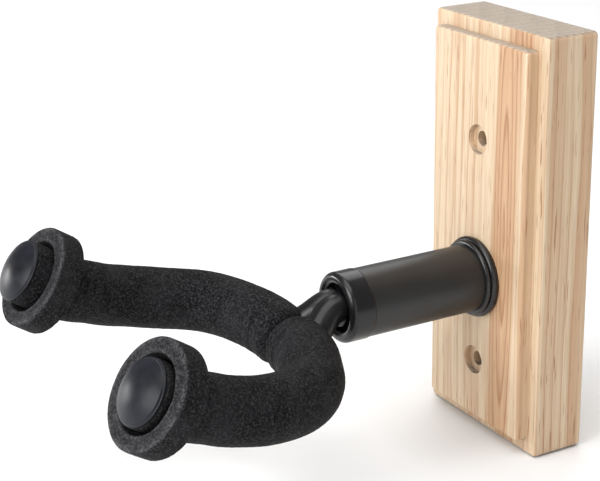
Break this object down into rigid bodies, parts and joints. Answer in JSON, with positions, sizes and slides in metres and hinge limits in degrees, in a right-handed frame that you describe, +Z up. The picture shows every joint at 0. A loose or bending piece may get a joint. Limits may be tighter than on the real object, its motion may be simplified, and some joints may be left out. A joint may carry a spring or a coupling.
{
  "type": "wall guitar hanger",
  "caption": "Wooden wall block with a barrel holding a self-levelling forked yoke, its arms sleeved in foam with end rings and domed tips.",
  "frame": {"origin": "centre of the wooden block's flat back face, at half its height, on the wall plane", "axes": "+Y into the wall (the hanger reaches out along -Y), +Z up the wall, +X to the right arm, which hangs lower: at rest the free yoke is swivelled 4.2 degrees about the barrel's axis"},
  "size_m": [0.1174, 0.1708, 0.14],
  "materials": {
    "wood": "clear satin, pale straight-grained board",
    "tube_black": "satin black powder coat",
    "cap_black": "gloss black moulding",
    "rod_black": "semi-gloss black powder coat",
    "foam": "matte closed-cell foam, charcoal grey",
    "cap_rubber": "smooth soft black rubber, semi-gloss",
    "steel": "zinc plated",
    "nylon": "natural nylon"
  },
  "bodies": {
    "base": {"wood_base": "wood", "base_washer": "steel", "base_bolt": "steel", "rear_plug": "steel", "thrust_pad": "nylon", "barrel_tube": "tube_black", "flange_collar": "cap_black", "front_cap": "cap_black", "cap_bush": "cap_black"},
    "yoke": {"spindle": "rod_black", "thrust_washer": "steel", "spring_washer": "steel", "lock_nut": "steel", "nut_insert": "nylon", "yoke_fork": "rod_black", "left_foam_sleeve": "foam", "right_foam_sleeve": "foam", "left_foam_ring": "foam", "right_foam_ring": "foam", "left_end_cap": "cap_rubber", "right_end_cap": "cap_rubber"}
  },
  "joints": [
    {"name": "yoke_swivel", "type": "hinge", "parent": "base", "child": "yoke", "pos_m": [0, -0.0756, -0.0145], "axis": [0, 1, 0], "continuous": true}
  ]
}
